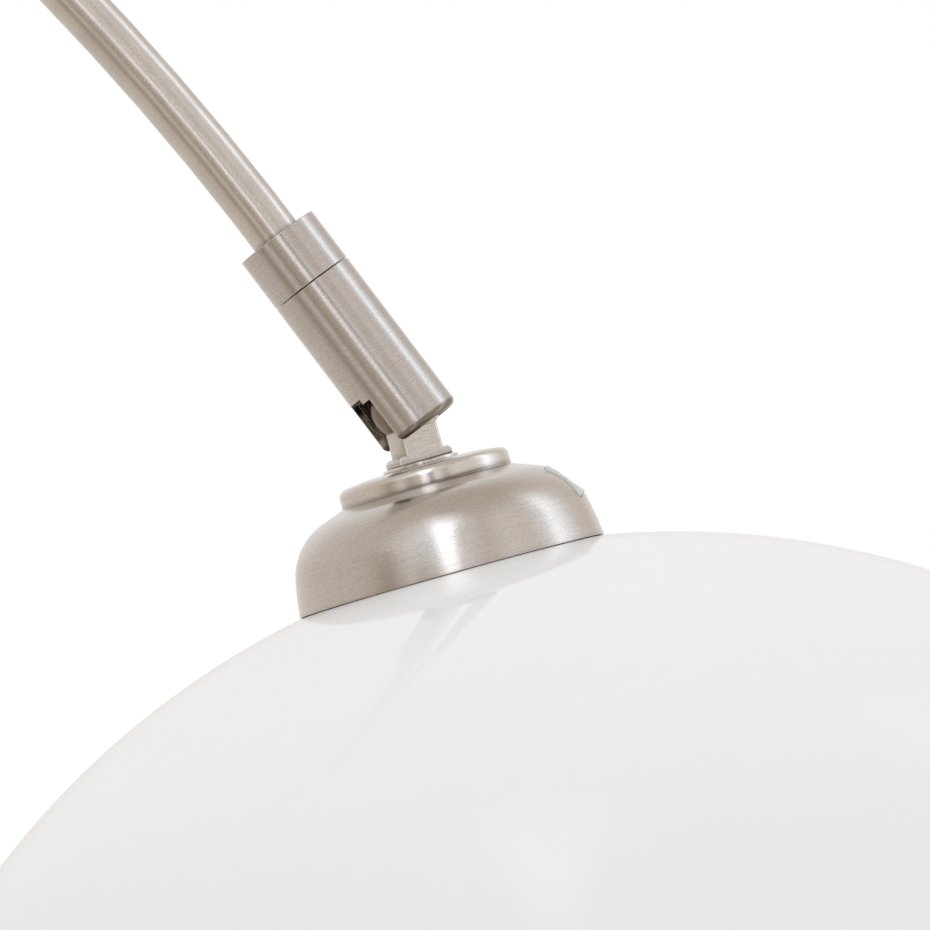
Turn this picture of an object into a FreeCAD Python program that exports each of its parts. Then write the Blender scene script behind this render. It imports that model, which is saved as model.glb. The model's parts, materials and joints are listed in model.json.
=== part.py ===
"""Arc floor lamp: a weighted base, a pole, a bent tube bow and a domed shade on a swivelling ball joint.

Frame: origin on the floor under the middle of the base, +Z up, the bow in the XZ plane with the shade
on the +X side. Millimetres and degrees.
"""
import FreeCAD, Part
import math
import os
import re

import Sketcher

# Driving dimensions: name, value, meaning.
DIMENSIONS = [
    # Base
    ("base_d", 420, "outside diameter of the base cover"),
    ("pole_offset", 150, "pole axis behind the middle of the base"),
    ("pad_thick", 3, "rubber pad under the weight"),
    ("pad_inset", 12, "pad edge inside the cover edge"),
    ("weight_thick", 28, "cast iron disc"),
    ("weight_round", 7.5, "top edge of the disc"),
    ("cover_wall", 1.5, "spun cover"),
    ("cover_gap", 0.3, "cover to disc, at the side"),
    ("cover_round", 8, "top edge of the cover"),
    ("cover_lift", 3.5, "cover edge above the floor"),
    ("recess_r", 19, "nut recess under the disc"),
    ("recess_deep", 15, "nut recess under the disc"),
    ("channel_wide", 18, "lead channel under the disc"),
    ("channel_high", 16, "lead channel under the disc"),
    ("gland_up", 11.4, "cord gland axis above the floor"),
    ("gland_neck_r", 6, "gland where it passes the cover"),
    ("gland_flange_r", 7.4, "gland outside and inside the cover"),
    ("gland_flange", 2.4, "thickness of each gland flange"),
    ("gland_gap", 0.4, "gland flanges apart, more than the cover"),
    ("gland_round", 0.8, "outer edge of the gland"),
    ("gland_bore_r", 3.3, "hole for the cord"),
    # Threaded tube, nuts, washers and cuts
    ("cut_over", 1, "cuts run this far past what they cut"),
    ("stud_r", 5, "hollow threaded tube"),
    ("stud_bore_r", 3.5, "lead passage in the threaded tube"),
    ("thread_gap", 0.05, "threaded tube in its hole"),
    ("nut_flats", 14, "across flats"),
    ("nut_thick", 4, "locknut"),
    ("stud_past", 2, "threaded tube past its end nuts"),
    ("washer_thick", 1.5, "plain washer"),
    ("washer_r", 15, "plain washer under the disc"),
    ("grub_r", 2, "grub screw"),
    ("grub_len", 3.8, "grub screw"),
    ("grub_socket_r", 1, "drive socket of a grub screw"),
    ("grub_socket_deep", 2, "drive socket of a grub screw"),
    ("grub_gap", 0.05, "grub screw in its hole"),
    # Pole
    ("pole_wall", 2, "lower pole"),
    ("pole_top", 820, "top of the lower pole above the floor"),
    ("fit_gap", 0.05, "tube in its socket"),
    ("foot_d", 72, "foot flange"),
    ("foot_thick", 5, "foot flange"),
    ("foot_round", 2.5, "edge of the foot flange"),
    ("foot_web", 8, "floor of the pole socket"),
    ("foot_neck_wall", 3.95, "neck of the foot round the pole"),
    ("foot_neck_up", 38, "top of the neck above the cover"),
    ("foot_grub", 10, "grub screw below the top of the neck"),
    ("edge_round", 1, "small turned edges"),
    ("reducer_wall", 3.95, "reducer round the pole"),
    ("reducer_over", 20, "reducer over the pole"),
    ("reducer_above", 22, "reducer above the pole"),
    ("reducer_grub", 9, "grub screws from each end of the reducer"),
    ("leg_in", 70, "bow leg inside the pole"),
    ("bush_len", 16, "plastic bush between the bow leg and the pole"),
    ("bush_wall", 0.9, "plastic bush between the bow leg and the pole"),
    # Bow
    ("tube_d", 22, "bow tube"),
    ("tube_wall", 1.5, "bow tube"),
    ("bow_top", 2060, "centre line of the bow at its highest"),
    ("rear_r", 640, "centre line radius of the rear bow"),
    ("front_r", 1185, "centre line radius of the front bow"),
    ("front_angle", 52.85, "turn of the front bow from level"),
    ("bow_straight", 30, "straight end of each bow tube at the joint"),
    ("spigot_wall", 2, "spigot inside the bow joint"),
    ("spigot_len", 54, "spigot inside the bow joint"),
    ("band_wall", 1.95, "band over the bow joint"),
    ("band_len", 26, "band over the bow joint"),
    ("band_grub", 6.5, "grub screws each side of the joint"),
    ("band_grub_in", 0.2, "band grub screws below the band's surface"),
    # Collar and swivel sleeve
    ("collar_len", 24.5, "collar"),
    ("collar_floor", 8.5, "solid end of the collar"),
    ("collar_bore_gap", 0.15, "curved tube end in the collar"),
    ("collar_end_gap", 0.3, "tube end above the collar's floor"),
    ("collar_edge", 0.25, "edges at the collar and sleeve ends"),
    ("collar_grub", 8, "grub screw below the collar's top"),
    ("swivel_gap", 0.4, "collar to sleeve, filled by the friction washer"),
    ("swivel_washer_r", 8.6, "friction washer and thrust washer"),
    ("swivel_run", 0.07, "threaded tube in the turning plug"),
    ("sleeve_len", 77, "swivel sleeve"),
    ("sleeve_wall", 2.6, "swivel sleeve"),
    ("sleeve_round", 3, "lower outer edge of the sleeve"),
    ("plug_thick", 8, "plug in the top of the sleeve"),
    ("stop_r", 10.8, "stop pin from the swivel axis"),
    ("stop_pin_r", 1.5, "stop pin"),
    ("stop_reach", 2, "stop pin below the collar's washer face"),
    ("stop_sunk", 1, "stop pin below the collar's inside floor"),
    ("stop_gap", 0.3, "stop groove round and under the pin"),
    ("stop_arc", 345, "turn of the stop groove"),
    ("plug_grub", 5.2, "plug grub screw below the sleeve top"),
    ("plug_grub_in", 2.5, "plug grub screw inside the plug's side"),
    # Ball joint
    ("ball_r", 15, "ball"),
    ("ball_gap", 0.05, "ball in its seat"),
    ("ball_room", 1, "sleeve bore outside the ball"),
    ("ball_depth", 12, "ball centre above the sleeve's lower end"),
    ("ball_flats", 15, "across the two flats of ball and stem"),
    ("lip_depth", 6.5, "seat edge below the ball centre"),
    ("mouth_in", 3.4, "sleeve mouth inside its outer surface"),
    ("slot_wide", 20, "side slot in the sleeve"),
    ("slot_high", 25.2, "slot top above the sleeve's lower end"),
    ("slot_step", 2.5, "near corner of the slot below its top"),
    ("slot_step_wide", 4.1, "near corner of the slot"),
    ("slot_round", 1.2, "far upper corner of the slot"),
    ("slot_turn", 67, "slot from the -Y side, about the sleeve axis"),
    ("cup_foot", 11.6, "pressure cup edge above the ball centre"),
    ("cup_top", 18, "pressure cup top above the ball centre"),
    ("cup_hole_r", 4.5, "lead hole in the cup"),
    ("spring_count", 3, "disc springs"),
    ("spring_thick", 1, "disc spring plate"),
    ("spring_cone", 0.6, "free height of the cone"),
    ("spring_bore_r", 8, "disc spring"),
    ("spacer_wall", 2, "spacer tube above the springs"),
    ("inside_gap", 0.4, "loose parts inside the sleeve bore"),
    # Knuckle
    ("head_lean", 15.6, "shade axis from vertical"),
    ("head_drop", 75.25, "ball centre above the cap rim"),
    ("stem_in", 3.85, "stem surface inside the ball's"),
    ("flange_d", 29, "knuckle flange"),
    ("flange_thick", 3.8, "knuckle flange"),
    ("flange_edge", 1.2, "upper edge of the flange"),
    ("flange_under", 0.5, "lower edge of the flange"),
    ("spigot_up", 8, "stem thread inside the ball"),
    ("spigot_down", 18, "stem thread below the washer"),
    ("ring_d", 33, "bright washer on the cap"),
    ("ring_thick", 1.8, "bright washer on the cap"),
    ("ring_edge", 0.4, "edges of the bright washer and the shade rings"),
    # Cap
    ("cap_high", 48.5, "cap height"),
    ("cap_wall", 1.2, "spun cap"),
    ("cap_rim_r", 67, "cap rim"),
    ("cap_side_in", 2.4, "top of the cap's side, inside the rim"),
    ("cap_side_up", 15.9, "top of the cap's side"),
    ("cap_side_bow", 125, "radius of the side's outline"),
    ("cap_side_lean", 12, "lean of the side at its top"),
    ("cap_brow_in", 19, "inner end of the shoulder, inside the rim"),
    ("cap_brow_up", 35.6, "inner end of the shoulder"),
    ("cap_shoulder", 27.2, "radius of the shoulder's outline"),
    ("cap_slope", 21.5, "slope inside the shoulder"),
    ("boss_r", 37.2, "boss on the cap"),
    ("boss_foot", 39.5, "foot of the boss"),
    ("boss_round", 3.5, "upper edge of the boss"),
    ("boss_flat_r", 26, "flat top of the boss"),
    ("boss_fall", 1, "upper edge of the boss below its flat top"),
    # Shade
    ("shade_sphere", 361, "outside radius of the dome"),
    ("shade_bend_r", 222, "where the dome meets its shoulder"),
    ("shade_shoulder", 120, "outside radius of the shoulder"),
    ("shade_skirt", 84, "slope of the skirt"),
    ("shade_high", 225, "shade height"),
    ("shade_wall", 3, "shade"),
    ("shade_hole_r", 20.5, "hole for the lampholder"),
    ("shade_gap", 0.3, "cap rim to shade"),
    # Lampholder and bulb
    ("holder_r", 19.5, "lampholder outside"),
    ("holder_wall", 1.8, "lampholder shell"),
    ("holder_top", 42, "lampholder top above the cap rim"),
    ("holder_neck_r", 9, "lampholder top"),
    ("holder_brow", 31, "top of the lampholder's straight side"),
    ("holder_foot", -16, "lampholder's open end"),
    ("core_gap", 0.2, "ceramic core in its shell"),
    ("core_top", 26, "ceramic core"),
    ("core_floor", 6, "floor of the bulb well"),
    ("core_foot", -12, "open end of the core"),
    ("screw_shell_r", 13.6, "inside radius of the screw shell"),
    ("screw_shell_wall", 0.5, "screw shell"),
    ("screw_shell_in", 2, "screw shell inside the core's open end"),
    ("ring_over_r", 27, "shade rings"),
    ("ring_over_thick", 4, "shade rings"),
    ("ring_run", 0.1, "shade ring thread"),
    ("contact_r", 3, "centre contact"),
    ("contact_thick", 1.2, "centre contact"),
    ("contact_pin_r", 1.4, "pin of the centre contact"),
    ("contact_pin", 6, "pin of the centre contact"),
    ("bulb_r", 30, "bulb globe"),
    ("bulb_wall", 1, "bulb globe"),
    ("bulb_centre", -70, "globe centre from the cap rim"),
    ("bulb_neck_r", 14, "neck of the globe"),
    ("bulb_neck_up", -20, "top of the globe's neck"),
    ("bulb_neck_long", 4, "straight part of the globe's neck"),
    ("bulb_brow", 30, "where the globe meets its cone, up from its middle"),
    ("bulb_stem", 2, "screw base's stem inside the globe's neck"),
    ("bulb_base_r", 13.2, "screw base"),
    ("bulb_base_top", 1, "top of the screw base"),
    ("bulb_base_cone", 4, "cone at the top of the screw base"),
    ("bulb_glass", 3, "glass ring round the contact end"),
    ("bulb_glass_up", 2, "glass ring round the contact end"),
    ("bulb_tip_r", 5, "contact end of the bulb"),
    ("bulb_tip_up", 4.6, "contact end of the bulb"),
    # Switch
    ("switch_up", 40, "tilt of the switch face from the cap's side"),
    ("switch_long", 19, "bezel down the slope"),
    ("switch_wide", 38, "bezel across the slope"),
    ("switch_proud", 1.45, "bezel face below the shoulder's crown"),
    ("bezel_thick", 4.2, "bezel"),
    ("bezel_gap", 0.3, "bezel in the cap"),
    ("rocker_long", 13, "rocker down the slope"),
    ("rocker_wide", 26, "rocker across the slope"),
    ("rocker_gap", 0.4, "rocker in the bezel"),
    ("rocker_proud", 0.4, "rocker ridge above the bezel"),
    ("rocker_rest", 8, "rocker tilt when off"),
    ("rocker_skirt", 3.5, "rocker's foot below the pin"),
    ("rocker_taper", 1, "rocker's foot shorter at each end"),
    ("pin_r", 1, "rocker pin"),
    ("pin_run", 0.06, "rocker on its pin"),
    ("pin_in", 1, "pin ends inside the bezel's sides"),
    ("body_deep", 12, "switch body behind the bezel"),
    ("body_floor", 4.2, "solid part of the body under the rocker"),
    ("body_side", 1.9, "sides of the switch body round the rocker's window"),
    ("tab_long", 6, "terminal"),
    ("tab_wide", 4.8, "terminal"),
    ("tab_thick", 0.8, "terminal"),
    ("tab_apart", 9, "terminal spacing"),
    ("tab_in", 1, "terminal inside the body"),
]
NAMES = {name for name, _, _ in DIMENSIONS}
LEFT = 1
RIGHT = -1

doc = FreeCAD.newDocument("arc_floor_lamp")
parts = []


def fill_sheet():
    """The spreadsheet that every size is bound to."""
    sheet = doc.addObject("Spreadsheet::Sheet", "dims")
    for row, (name, value, meaning) in enumerate(DIMENSIONS, start=1):
        sheet.set(f"A{row}", str(value))
        sheet.setAlias(f"A{row}", name)
        sheet.set(f"B{row}", meaning)
    doc.recompute()
    return sheet


dims = fill_sheet()


def bound(formula):
    """The formula with each dimension's name pointing at the sheet."""
    def point(match):
        return "dims." + match[0] if match[0] in NAMES else match[0]
    return re.sub(r"[a-z]\w*", point, str(formula))


probe = doc.addObject("App::FeaturePython", "probe")
probe.addProperty("App::PropertyFloat", "answer")


def value(formula):
    """The formula's number for the sizes now in the sheet."""
    probe.setExpression("answer", bound(formula))
    probe.recompute()
    return probe.answer


# Places ---------------------------------------------------------------------------------------------
COVER_TOP = "(pad_thick + weight_thick + cover_wall)"
POLE_FOOT = f"({COVER_TOP} + foot_web)"
JOINT_X = "(rear_r + bow_straight - pole_offset)"
POLE_BORE = "(tube_d / 2 + 2 * fit_gap + bush_wall)"
POLE_R = f"({POLE_BORE} + pole_wall)"
SLEEVE_BORE = "(ball_r + ball_room)"
SLEEVE_R = f"({SLEEVE_BORE} + sleeve_wall)"
STEM_R = "(ball_r - stem_in)"
CAP_SIDE_R = "(cap_rim_r - cap_side_in)"
CAP_BROW_R = "(cap_rim_r - cap_brow_in)"
SLEEVE_TOP = "(sleeve_len - ball_depth)"
COLLAR_FOOT = f"({SLEEVE_TOP} + swivel_gap)"
COLLAR_TOP = f"({COLLAR_FOOT} + collar_len)"
TIP_X = f"({JOINT_X} + bow_straight + front_r * sin(front_angle))"
TIP_Z = "(bow_top - front_r * (1 - cos(front_angle)))"
BALL_X = f"({TIP_X} + {COLLAR_TOP} * cos(front_angle))"
BALL_Z = f"({TIP_Z} - {COLLAR_TOP} * sin(front_angle))"
RIM_X = f"({BALL_X} + head_drop * sin(head_lean))"
RIM_Z = f"({BALL_Z} - head_drop * cos(head_lean))"
ARM_LEAN = "(90 - front_angle)"
FLAT_TURN = f"atan(1 / (tan(slot_turn) * cos({ARM_LEAN} - head_lean)))"


def frame(x, z, lean="0", spin="0"):
    """A frame in the XZ plane: leaned towards -X, then spun about its own axis."""
    turn = f"rotation(vector(0; 1; 0); -({lean})) * rotation(vector(0; 0; 1); {spin})"
    return f"placement(vector({x}; 0; {z}); {turn})"


POLE = frame("-pole_offset", "0")
SLEEVE = frame(BALL_X, BALL_Z, ARM_LEAN, "-slot_turn")
KNUCKLE = frame(RIM_X, RIM_Z, "head_lean", FLAT_TURN)
HEAD = frame(RIM_X, RIM_Z, "head_lean")


def seat(thing, place):
    """Binds a thing's Placement to a formula."""
    thing.setExpression("Placement", bound(place))
    return thing


def finish(thing, place=None):
    """Takes a thing into the list of sub-parts, at its place."""
    parts.append(thing)
    return seat(thing, place) if place else thing


# Shapes ---------------------------------------------------------------------------------------------
def origin_feature(body, role):
    """One of the body's own origin planes or axes."""
    return next(item for item in body.Origin.OriginFeatures if item.Role == role)


def arc_between(start, end, radius, turn):
    """The short arc from start to end, its centre on the side that turn names."""
    chord = end - start
    side = FreeCAD.Vector(-chord.y, chord.x, 0).normalize() * turn
    rise = math.sqrt(max(radius ** 2 - chord.Length ** 2 / 4, 0))
    centre = (start + end) * 0.5 + side * rise
    first, last = (start, end) if turn == LEFT else (end, start)
    low = math.atan2(first.y - centre.y, first.x - centre.x)
    high = math.atan2(last.y - centre.y, last.x - centre.x)
    if high < low:
        high += 2 * math.pi
    return Part.ArcOfCircle(Part.Circle(centre, FreeCAD.Vector(0, 0, 1), radius), low, high)


def pin_down(sketch, kind, fixed, formula):
    """A driving constraint bound to the sheet."""
    index = sketch.addConstraint(Sketcher.Constraint(kind, *fixed, value(formula)))
    sketch.setExpression(f".Constraints[{index}]", bound(formula))


def outline(body, name, role, corners):
    """A closed sketch on one of the body's own planes, with every corner driven by the sheet.

    A corner is (across, up). With (across, up, turn, radius) the edge that leaves it is an arc that
    turns LEFT or RIGHT.
    """
    sketch = body.newObject("Sketcher::SketchObject", name)
    sketch.AttachmentSupport = (origin_feature(body, role), [""])
    sketch.MapMode = "FlatFace"
    points = [FreeCAD.Vector(value(corner[0]), value(corner[1]), 0) for corner in corners]
    ends = []
    for index, corner in enumerate(corners):
        start = points[index]
        end = points[(index + 1) % len(points)]
        if len(corner) == 2:
            edge = sketch.addGeometry(Part.LineSegment(start, end))
            ends.append((edge, 1, 2))
        else:
            turn, radius = corner[2:]
            edge = sketch.addGeometry(arc_between(start, end, value(radius), turn))
            ends.append((edge, 1, 2) if turn == LEFT else (edge, 2, 1))
            pin_down(sketch, "Radius", (edge,), radius)
    for index, corner in enumerate(corners):
        edge, start, _ = ends[index]
        before, _, end = ends[index - 1]
        sketch.addConstraint(Sketcher.Constraint("Coincident", before, end, edge, start))
        pin_down(sketch, "DistanceX", (-1, 1, edge, start), corner[0])
        pin_down(sketch, "DistanceY", (-1, 1, edge, start), corner[1])
    return sketch


def circles(body, name, role, across, up, radii):
    """A sketch of circles round one point of the body's own plane."""
    sketch = body.newObject("Sketcher::SketchObject", name)
    sketch.AttachmentSupport = (origin_feature(body, role), [""])
    sketch.MapMode = "FlatFace"
    centre = FreeCAD.Vector(value(across), value(up), 0)
    for radius in radii:
        edge = sketch.addGeometry(Part.Circle(centre, FreeCAD.Vector(0, 0, 1), value(radius)))
        pin_down(sketch, "Radius", (edge,), radius)
        pin_down(sketch, "DistanceX", (-1, 1, edge, 3), across)
        pin_down(sketch, "DistanceY", (-1, 1, edge, 3), up)
    return sketch


def turned(name, corners):
    """A body turned about its Z axis from an outline of (radius, height) corners."""
    body = doc.addObject("PartDesign::Body", name)
    sketch = outline(body, name + "_outline", "XZ_Plane", corners)
    turn = body.newObject("PartDesign::Revolution", name + "_turn")
    turn.Profile = sketch
    turn.ReferenceAxis = (sketch, ["V_Axis"])
    turn.Angle = 360
    return body


def ring(name, inner, outer, low, high):
    """A plain turned ring."""
    return turned(name, [(inner, low), (outer, low), (outer, high), (inner, high)])


def eased_ring(name, inner, outer, low, high, edge):
    """A turned ring with both outer edges chamfered."""
    return turned(name, [
        (inner, low), (f"{outer} - {edge}", low), (outer, f"{low} + {edge}"),
        (outer, f"{high} - {edge}"), (f"{outer} - {edge}", high), (inner, high),
    ])


def rod(name, radius, length, at, direction="0; 0; 1", place=None):
    """A Part cylinder from a point along a direction, in a frame if one is given."""
    tool = doc.addObject("Part::Cylinder", name)
    tool.setExpression("Radius", bound(radius))
    tool.setExpression("Height", bound(length))
    x, y, z = at
    own = f"placement(vector({x}; {y}; {z}); rotation(vector(0; 0; 1); vector({direction})))"
    return seat(tool, f"{place} * {own}" if place else own)


def block(name, size, centre):
    """A Part box about a centre."""
    tool = doc.addObject("Part::Box", name)
    for side, length in zip(("Length", "Width", "Height"), size):
        tool.setExpression(side, bound(length))
    corner = [f"({middle}) - ({length}) / 2" for middle, length in zip(centre, size)]
    return seat(tool, f"placement(vector({'; '.join(corner)}); rotation(vector(0; 0; 1); 0))")


def joined(name, things):
    """Several shapes as one object."""
    together = doc.addObject("Part::MultiFuse", name)
    together.Shapes = things
    return together


def group(name, things):
    """Several separate solids as one sub-part."""
    together = doc.addObject("Part::Compound", name)
    together.Links = things
    return together


def cut(name, base, tools):
    """The base less its tools."""
    result = doc.addObject("Part::Cut", name)
    result.Base = base
    result.Tool = tools[0] if len(tools) == 1 else joined(name + "_tools", tools)
    return result


def common(name, base, tool):
    """What the base and the tool share."""
    result = doc.addObject("Part::Common", name)
    result.Base = base
    result.Tool = tool
    return result


def nut(name, low, place):
    """A hexagon locknut on the threaded tube."""
    blank = doc.addObject("Part::Prism", name + "_blank")
    blank.Polygon = 6
    blank.setExpression("Circumradius", bound("nut_flats / sqrt(3)"))
    blank.setExpression("Height", bound("nut_thick"))
    seat(blank, f"placement(vector(0; 0; {low}); rotation(vector(0; 0; 1); 0))")
    hole = rod(name + "_hole", "stud_r + thread_gap", "nut_thick + 2 * cut_over",
               ("0", "0", f"{low} - cut_over"))
    return finish(cut(name, blank, [hole]), place)


def threaded_tube(name, low, high, place):
    """A hollow threaded tube."""
    return finish(ring(name, "stud_bore_r", "stud_r", low, high), place)


def grub_screw(name, reach, low, side):
    """A grub screw that points at the Z axis from +Y or -Y, with its tip at a reach."""
    shank = rod(name + "_shank", "grub_r", "grub_len", ("0", f"{side} * ({reach})", low), f"0; {side}; 0")
    start = f"{side} * ({reach} + grub_len - grub_socket_deep)"
    socket = rod(name + "_socket", "grub_socket_r", "grub_socket_deep + cut_over", ("0", start, low),
                 f"0; {side}; 0")
    return cut(name, shank, [socket])


def grub_hole(name, reach, low, side):
    """The hole for a grub screw, outwards from a reach."""
    return rod(name, "grub_r + grub_gap", f"2 * {SLEEVE_R}", ("0", f"{side} * ({reach})", low),
               f"0; {side}; 0")


# Base -----------------------------------------------------------------------------------------------
def base_pad():
    """Rubber pad under the disc, with a hole under the nut."""
    blank = ring("base_pad_blank", "0", "base_d / 2 - pad_inset", "0", "pad_thick")
    hole = rod("base_pad_hole", "recess_r", "pad_thick + 2 * cut_over", ("-pole_offset", "0", "-cut_over"))
    finish(cut("base_pad", blank, [hole]))


def base_weight():
    """Cast iron disc with a nut recess under the pole and a lead channel to the back edge."""
    side = "(base_d / 2 - cover_wall - cover_gap)"
    top = "(pad_thick + weight_thick)"
    blank = turned("base_weight_blank", [
        ("0", "pad_thick"), (side, "pad_thick"), (side, f"{top} - weight_round", LEFT, "weight_round"),
        (f"{side} - weight_round", top), ("0", top),
    ])
    under = ("-pole_offset", "0", "pad_thick - cut_over")
    recess = rod("base_weight_recess", "recess_r", "recess_deep + cut_over", under)
    bore = rod("base_weight_bore", "stud_r + thread_gap", "weight_thick + 2 * cut_over", under)
    channel = block(
        "base_weight_channel", ("base_d / 2 - pole_offset", "channel_wide", "channel_high + cut_over"),
        ("-(base_d / 2 + pole_offset) / 2", "0", "pad_thick + (channel_high - cut_over) / 2"))
    finish(cut("base_weight", blank, [recess, bore, channel]))


def base_cover():
    """Spun cover over the disc, open below."""
    side = "base_d / 2"
    inner = "(base_d / 2 - cover_wall)"
    hollow = "(cover_round - cover_wall)"
    blank = turned("base_cover_blank", [
        (inner, "cover_lift"), (side, "cover_lift"),
        (side, f"{COVER_TOP} - cover_round", LEFT, "cover_round"),
        (f"{side} - cover_round", COVER_TOP), ("0", COVER_TOP), ("0", f"{COVER_TOP} - cover_wall"),
        (f"{side} - cover_round", f"{COVER_TOP} - cover_wall", RIGHT, hollow),
        (inner, f"{COVER_TOP} - cover_round"),
    ])
    bore = rod("base_cover_bore", "stud_r + thread_gap", "weight_thick",
               ("-pole_offset", "0", "weight_thick / 2"))
    gland = rod("base_cover_gland", "gland_neck_r", "channel_wide",
                ("-base_d / 2 - gland_flange", "0", "gland_up"), "1; 0; 0")
    finish(cut("base_cover", blank, [bore, gland]))


def cord_gland():
    """Rubber gland in the cover's back edge, turned about its own axis and laid along X."""
    outside = "(base_d / 2 + gland_flange)"
    wall = "(cover_wall + gland_gap)"
    blank = turned("cord_gland", [
        ("gland_bore_r", "0"), ("gland_flange_r - gland_round", "0", LEFT, "gland_round"),
        ("gland_flange_r", "gland_round"),
        ("gland_flange_r", "gland_flange"), ("gland_neck_r", "gland_flange"),
        ("gland_neck_r", f"gland_flange + {wall}"), ("gland_flange_r", f"gland_flange + {wall}"),
        ("gland_flange_r", f"2 * gland_flange + {wall}"), ("gland_bore_r", f"2 * gland_flange + {wall}"),
    ])
    lay = "rotation(vector(0; 1; 0); 90)"
    finish(blank, f"placement(vector(-{outside}; 0; gland_up); {lay})")


def foot_hardware():
    """Threaded tube, washer and nut that clamp the foot through cover and disc."""
    shelf = "(pad_thick + recess_deep)"
    threaded_tube("foot_stud", f"{shelf} - washer_thick - nut_thick - stud_past",
                  f"{POLE_FOOT} + nut_thick + stud_past", POLE)
    finish(ring("foot_washer", "stud_r + thread_gap", "washer_r", f"{shelf} - washer_thick", shelf), POLE)
    nut("foot_nut", f"{shelf} - washer_thick - nut_thick", POLE)
    nut("foot_locknut", POLE_FOOT, POLE)


def pole_foot():
    """Turned foot: a flange on the cover and a socket for the pole."""
    top = f"({COVER_TOP} + foot_neck_up)"
    neck = f"({POLE_R} + fit_gap + foot_neck_wall)"
    flange_top = f"({COVER_TOP} + foot_thick)"
    blank = turned("pole_foot_blank", [
        ("stud_r + thread_gap", COVER_TOP), ("foot_d / 2", COVER_TOP),
        ("foot_d / 2", f"{flange_top} - foot_round", LEFT, "foot_round"),
        ("foot_d / 2 - foot_round", flange_top),
        (f"{neck} + foot_round", flange_top, RIGHT, "foot_round"), (neck, f"{flange_top} + foot_round"),
        (neck, f"{top} - edge_round", LEFT, "edge_round"), (f"{neck} - edge_round", top),
        (f"{POLE_R} + fit_gap", top), (f"{POLE_R} + fit_gap", POLE_FOOT),
        ("stud_r + thread_gap", POLE_FOOT),
    ])
    hole = grub_hole("pole_foot_hole", POLE_R, f"{top} - foot_grub", "1")
    finish(cut("pole_foot", blank, [hole]), POLE)


def lower_pole():
    """Plain tube from the foot to the reducer."""
    finish(ring("lower_pole", POLE_BORE, POLE_R, POLE_FOOT, "pole_top"), POLE)


def pole_reducer():
    """Turned reducer over the pole's top, closed round the bow's leg."""
    low = "(pole_top - reducer_over)"
    high = "(pole_top + reducer_above)"
    side = f"({POLE_R} + fit_gap + reducer_wall)"
    blank = turned("pole_reducer_blank", [
        (f"{POLE_R} + fit_gap", low), (f"{side} - edge_round", low, LEFT, "edge_round"),
        (side, f"{low} + edge_round"), (side, f"{high} - edge_round", LEFT, "edge_round"),
        (f"{side} - edge_round", high), ("tube_d / 2 + fit_gap", high),
        ("tube_d / 2 + fit_gap", "pole_top"), (f"{POLE_R} + fit_gap", "pole_top"),
    ])
    holes = [
        grub_hole("pole_reducer_hole_low", POLE_R, f"{low} + reducer_grub", "1"),
        grub_hole("pole_reducer_hole_high", "tube_d / 2", f"{high} - reducer_grub", "1"),
    ]
    finish(cut("pole_reducer", blank, holes), POLE)
    finish(ring("pole_bush", "tube_d / 2 + fit_gap", f"{POLE_BORE} - fit_gap",
                "pole_top - leg_in", "pole_top - leg_in + bush_len"), POLE)


def pole_grub_screws():
    """Grub screws of the foot and the reducer, tips on the tubes."""
    screws = [
        grub_screw("foot_grub_screw", f"{POLE_R} + fit_gap", f"{COVER_TOP} + foot_neck_up - foot_grub", "1"),
        grub_screw("reducer_screw_low", f"{POLE_R} + fit_gap", "pole_top - reducer_over + reducer_grub", "1"),
        grub_screw("reducer_screw_high", "tube_d / 2 + fit_gap",
                   "pole_top + reducer_above - reducer_grub", "1"),
    ]
    finish(group("pole_grub_screws", screws), POLE)


# Bow ------------------------------------------------------------------------------------------------
def padded(body, sketch, name, length, backwards):
    """A straight run of a sketch."""
    pad = body.newObject("PartDesign::Pad", name)
    pad.Profile = sketch
    pad.setExpression("Length", bound(length))
    pad.Reversed = backwards
    return pad


def swept(body, sketch, name, angle):
    """A sketch turned about the body's Y axis."""
    turn = body.newObject("PartDesign::Revolution", name)
    turn.Profile = sketch
    turn.ReferenceAxis = (origin_feature(body, "Y_Axis"), [""])
    turn.setExpression("Angle", bound(angle))
    return turn


TUBE_RADII = ("tube_d / 2", "tube_d / 2 - tube_wall")


def rear_bow():
    """Leg, quarter turn and short level end of one bent tube, about the turn's centre."""
    body = doc.addObject("PartDesign::Body", "rear_bow")
    foot = circles(body, "rear_bow_foot", "XY_Plane", "-rear_r", "0", TUBE_RADII)
    padded(body, foot, "rear_bow_leg", "bow_top - rear_r - pole_top + leg_in", True)
    swept(body, foot, "rear_bow_turn", "90")
    top = circles(body, "rear_bow_top", "YZ_Plane", "0", "rear_r", TUBE_RADII)
    padded(body, top, "rear_bow_end", "bow_straight", False)
    finish(body, frame("rear_r - pole_offset", "bow_top - rear_r"))


def front_bow():
    """Short level end and long turn of one bent tube, about the turn's centre."""
    body = doc.addObject("PartDesign::Body", "front_bow")
    top = circles(body, "front_bow_top", "YZ_Plane", "0", "front_r", TUBE_RADII)
    padded(body, top, "front_bow_start", "bow_straight", True)
    inside = "(collar_len - collar_floor - collar_end_gap) / front_r * 180 / pi"
    swept(body, top, "front_bow_turn", f"front_angle + {inside}")
    finish(body, frame(f"{JOINT_X} + bow_straight", "bow_top - front_r"))


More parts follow.
